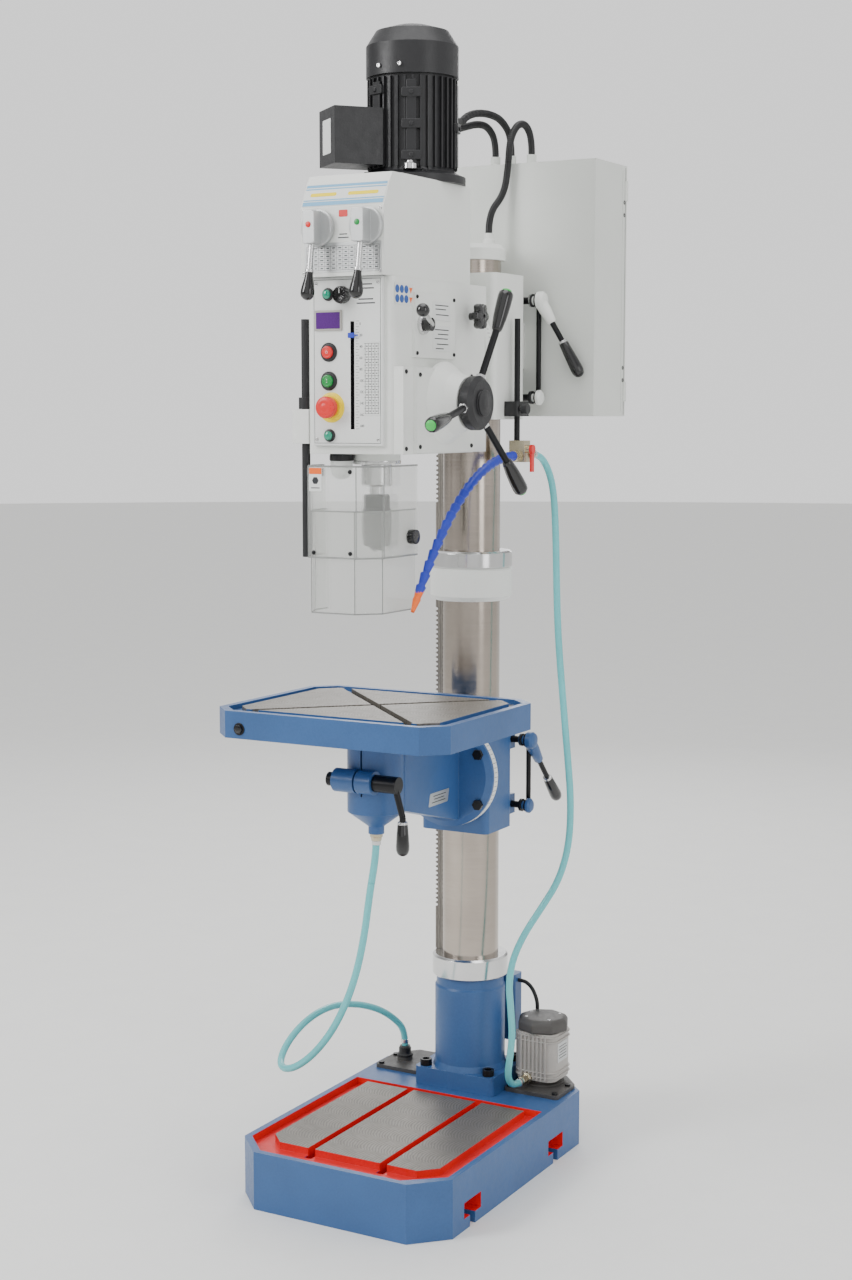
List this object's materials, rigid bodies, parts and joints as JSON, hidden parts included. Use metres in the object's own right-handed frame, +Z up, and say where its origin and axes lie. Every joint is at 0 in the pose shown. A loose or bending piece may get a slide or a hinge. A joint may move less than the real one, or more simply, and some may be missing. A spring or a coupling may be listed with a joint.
{
  "type": "drill press",
  "caption": "Floor-standing pillar drill press with geared head, tilting and swinging slotted table, three-arm feed, chuck guard, coolant pump and hoses, and a control cabinet.",
  "frame": {"origin": "on the floor under the column's axis", "axes": "+Z up along the column, -Y towards the operator, +X to the operator's right"},
  "size_m": [0.4953, 0.829, 2.192],
  "materials": {
    "blue_paint": "satin blue enamel",
    "cast_iron": "machined",
    "ground_steel": "ground",
    "bright_steel": "polished",
    "white_paint": "satin off-white enamel",
    "grey_paint": "satin light grey enamel",
    "black_paint": "satin black enamel",
    "black_steel": "blackened steel",
    "black_grip": "gloss phenolic",
    "pump_grey": "satin grey",
    "plate_grey": "matt grey",
    "hose_blue": "soft clear turquoise",
    "cable_black": "matt",
    "conduit_black": "corrugated",
    "nozzle_blue": "satin",
    "brass": "plain",
    "red_plastic": "satin",
    "green_plastic": "satin",
    "guard_clear": "clear"
  },
  "bodies": {
    "stand": {"base_casting": "blue_paint", "column_foot": "blue_paint", "stand_bolts": "black_steel", "column_tube": "ground_steel", "column_rings": "bright_steel", "column_cap": "grey_paint", "junction_box": "blue_paint", "tank_lids": "plate_grey", "pump_motor": "pump_grey", "supply_hose": "hose_blue", "drain_hose": "hose_blue", "pump_cable": "cable_black", "cap_conduit": "conduit_black"},
    "table_rack": {"table_rack": "ground_steel"},
    "table_bracket": {"table_bracket": "blue_paint"},
    "table_crank": {"table_crank": "black_steel"},
    "table_clamp": {"table_clamp_lever": "black_steel"},
    "table_clamp_foot": {"table_clamp_lower": "black_steel"},
    "table_clamp_rod": {"table_clamp_link": "black_steel"},
    "table_arm": {"table_arm": "blue_paint", "tilt_bolts": "black_steel"},
    "arm_clamp": {"arm_clamp_lever": "black_steel"},
    "table": {"work_table": "cast_iron"},
    "head_rack": {"head_rack": "ground_steel"},
    "head_carrier": {"head_bracket": "white_paint", "cabinet_box": "white_paint", "nozzle_block": "black_steel", "motor_conduit": "conduit_black", "panel_conduit": "conduit_black"},
    "cabinet_door": {"cabinet_door": "white_paint"},
    "head_clamp": {"head_clamp_lever": "black_steel"},
    "head_clamp_foot": {"head_clamp_lower": "black_steel"},
    "head_clamp_rod": {"head_clamp_link": "black_steel"},
    "nozzle": {"nozzle_rod": "brass", "coolant_nozzle": "nozzle_blue"},
    "valve_lever": {"valve_lever": "red_plastic"},
    "head": {"head_casting": "white_paint", "gearbox_cover": "white_paint", "front_panel": "grey_paint", "side_cover": "white_paint", "motor_housing": "black_paint"},
    "motor_rotor": {"motor_rotor": "ground_steel"},
    "drive_sleeve": {"drive_sleeve": "ground_steel"},
    "quill": {"quill": "bright_steel"},
    "spindle": {"spindle": "ground_steel", "drill_chuck": "ground_steel"},
    "feed": {"feed_wheel": "black_steel", "feed_grips": "black_grip"},
    "start_button": {"start_button": "green_plastic"},
    "stop_button": {"stop_button": "red_plastic"},
    "emergency_stop": {"emergency_stop": "red_plastic"},
    "speed_knob": {"speed_knob": "black_grip"},
    "gear_selector_left": {"gear_selector_left": "black_grip"},
    "gear_selector_right": {"gear_selector_right": "black_grip"},
    "depth_pointer": {"depth_pointer": "nozzle_blue"},
    "star_knob": {"star_knob": "black_grip"},
    "feed_selector": {"feed_selector": "black_grip"},
    "guard": {"guard_post": "bright_steel", "guard_shield": "guard_clear"},
    "lower_shield": {"lower_shield": "guard_clear"}
  },
  "joints": [
    {"name": "table_swing", "type": "hinge", "parent": "stand", "child": "table_rack", "pos_m": [0, 0, 0.75], "axis": [0, 0, 1], "range_deg": [-40, 40]},
    {"name": "table_height", "type": "slide", "parent": "table_rack", "child": "table_bracket", "axis": [0, 0, -1], "range_m": [-0.08, 0.25], "deforming": ["drain_hose"]},
    {"name": "table_crank_turn", "type": "hinge", "parent": "table_bracket", "child": "table_crank", "pos_m": [-0.0885, 0, 0.7409], "axis": [0, 1, 0], "range_deg": [-956, 306]},
    {"name": "table_clamp_turn", "type": "hinge", "parent": "table_bracket", "child": "table_clamp", "pos_m": [0.09, 0.066, 0.822], "axis": [1, 0, 0], "range_deg": [0, 40]},
    {"name": "table_clamp_foot_turn", "type": "hinge", "parent": "table_bracket", "child": "table_clamp_foot", "pos_m": [0.09, 0.066, 0.687], "axis": [1, 0, 0], "range_deg": [0, 40]},
    {"name": "table_clamp_rod_turn", "type": "hinge", "parent": "table_clamp", "child": "table_clamp_rod", "pos_m": [0.09, 0.084, 0.822], "axis": [1, 0, 0], "range_deg": [-40, 0]},
    {"name": "table_tilt", "type": "hinge", "parent": "table_bracket", "child": "table_arm", "pos_m": [0, -0.0852, 0.772], "axis": [0, 1, 0], "range_deg": [-45, 45]},
    {"name": "arm_clamp_turn", "type": "hinge", "parent": "table_arm", "child": "arm_clamp", "pos_m": [0.04, -0.44, 0.81], "axis": [1, 0, 0], "range_deg": [-20, 60]},
    {"name": "table_spin", "type": "hinge", "parent": "table_arm", "child": "table", "pos_m": [0, -0.377, 0.9], "axis": [0, 0, 1], "continuous": true},
    {"name": "head_swing", "type": "hinge", "parent": "stand", "child": "head_rack", "pos_m": [0, 0, 1.5], "axis": [0, 0, 1], "range_deg": [-30, 30]},
    {"name": "head_height", "type": "slide", "parent": "head_rack", "child": "head_carrier", "axis": [0, 0, -1], "range_m": [-0.025, 0.1], "deforming": ["supply_hose", "cap_conduit"]},
    {"name": "head_clamp_turn", "type": "hinge", "parent": "head_carrier", "child": "head_clamp", "pos_m": [0.1, 0.066, 1.705], "axis": [1, 0, 0], "range_deg": [-40, 0]},
    {"name": "head_clamp_foot_turn", "type": "hinge", "parent": "head_carrier", "child": "head_clamp_foot", "pos_m": [0.1, 0.066, 1.514], "axis": [1, 0, 0], "range_deg": [-40, 0]},
    {"name": "head_clamp_rod_turn", "type": "hinge", "parent": "head_clamp", "child": "head_clamp_rod", "pos_m": [0.1, 0.084, 1.705], "axis": [1, 0, 0], "range_deg": [0, 40]},
    {"name": "cabinet_door_hinge", "type": "hinge", "parent": "head_carrier", "child": "cabinet_door", "pos_m": [0.224, 0.241, 1.73], "axis": [0, 0, 1], "range_deg": [-110, 0]},
    {"name": "nozzle_height", "type": "slide", "parent": "head_carrier", "child": "nozzle", "axis": [0, 0, 1], "range_m": [-0.05, 0.03]},
    {"name": "valve_turn", "type": "hinge", "parent": "nozzle", "child": "valve_lever", "pos_m": [0.142, -0.02, 1.413], "axis": [1, 0, 0], "range_deg": [0, 90]},
    {"name": "head_tilt", "type": "hinge", "parent": "head_carrier", "child": "head", "pos_m": [0, -0.0852, 1.612], "axis": [0, 1, 0], "range_deg": [-2.5, 8], "deforming": ["motor_conduit", "panel_conduit"]},
    {"name": "motor_turn", "type": "hinge", "parent": "head", "child": "motor_rotor", "pos_m": [0, -0.238, 2], "axis": [0, 0, 1], "continuous": true},
    {"name": "sleeve_turn", "type": "hinge", "parent": "head", "child": "drive_sleeve", "pos_m": [0, -0.372, 1.7], "axis": [0, 0, 1], "continuous": true},
    {"name": "quill_feed", "type": "slide", "parent": "head", "child": "quill", "axis": [0, 0, -1], "range_m": [0, 0.16], "stiffness_N_per_m": 300, "springref_m": -0.4},
    {"name": "spindle_turn", "type": "hinge", "parent": "quill", "child": "spindle", "pos_m": [0, -0.372, 1.4], "axis": [0, 0, 1], "continuous": true},
    {"name": "feed_turn", "type": "hinge", "parent": "head", "child": "feed", "pos_m": [0.1, -0.316, 1.501], "axis": [1, 0, 0], "range_deg": [0, 306]},
    {"name": "depth_pointer_travel", "type": "slide", "parent": "head", "child": "depth_pointer", "axis": [0, 0, -1], "range_m": [0, 0.16]},
    {"name": "start_press", "type": "slide", "parent": "head", "child": "start_button", "axis": [0, 1, 0], "range_m": [0, 0.003], "stiffness_N_per_m": 800, "springref_m": -0.002},
    {"name": "stop_press", "type": "slide", "parent": "head", "child": "stop_button", "axis": [0, 1, 0], "range_m": [0, 0.003], "stiffness_N_per_m": 800, "springref_m": -0.002},
    {"name": "emergency_press", "type": "slide", "parent": "head", "child": "emergency_stop", "axis": [0, 1, 0], "range_m": [0, 0.003]},
    {"name": "speed_knob_turn", "type": "hinge", "parent": "head", "child": "speed_knob", "pos_m": [-0.006, -0.48, 1.691], "axis": [0, 1, 0], "range_deg": [-135, 135]},
    {"name": "gear_left_turn", "type": "hinge", "parent": "head", "child": "gear_selector_left", "pos_m": [-0.047, -0.5, 1.808], "axis": [0, 1, 0], "range_deg": [-22, 22]},
    {"name": "gear_right_turn", "type": "hinge", "parent": "head", "child": "gear_selector_right", "pos_m": [0.053, -0.5, 1.808], "axis": [0, 1, 0], "range_deg": [-22, 22]},
    {"name": "star_knob_turn", "type": "hinge", "parent": "head", "child": "star_knob", "pos_m": [0.11, -0.188, 1.663], "axis": [1, 0, 0], "range_deg": [-180, 180]},
    {"name": "feed_selector_turn", "type": "hinge", "parent": "head", "child": "feed_selector", "pos_m": [0.11, -0.372, 1.641], "axis": [1, 0, 0], "range_deg": [-20, 20]},
    {"name": "guard_swing", "type": "hinge", "parent": "head", "child": "guard", "pos_m": [-0.105, -0.447, 1.4], "axis": [0, 0, 1], "range_deg": [-100, 0]},
    {"name": "lower_shield_travel", "type": "slide", "parent": "guard", "child": "lower_shield", "axis": [0, 0, 1], "range_m": [0, 0.08]}
  ],
  "couplings": [
    {"joint": "table_crank_turn", "follows": "table_height", "rad_per_m": -66.667},
    {"joint": "table_clamp_foot_turn", "follows": "table_clamp_turn", "ratio": 1},
    {"joint": "table_clamp_rod_turn", "follows": "table_clamp_turn", "ratio": -1},
    {"joint": "head_clamp_foot_turn", "follows": "head_clamp_turn", "ratio": 1},
    {"joint": "head_clamp_rod_turn", "follows": "head_clamp_turn", "ratio": -1},
    {"joint": "sleeve_turn", "follows": "motor_turn", "ratio": -0.81081},
    {"joint": "spindle_turn", "follows": "motor_turn", "ratio": -0.81081},
    {"joint": "feed_turn", "follows": "quill_feed", "rad_per_m": 33.333},
    {"joint": "depth_pointer_travel", "follows": "quill_feed", "ratio": 1}
  ]
}
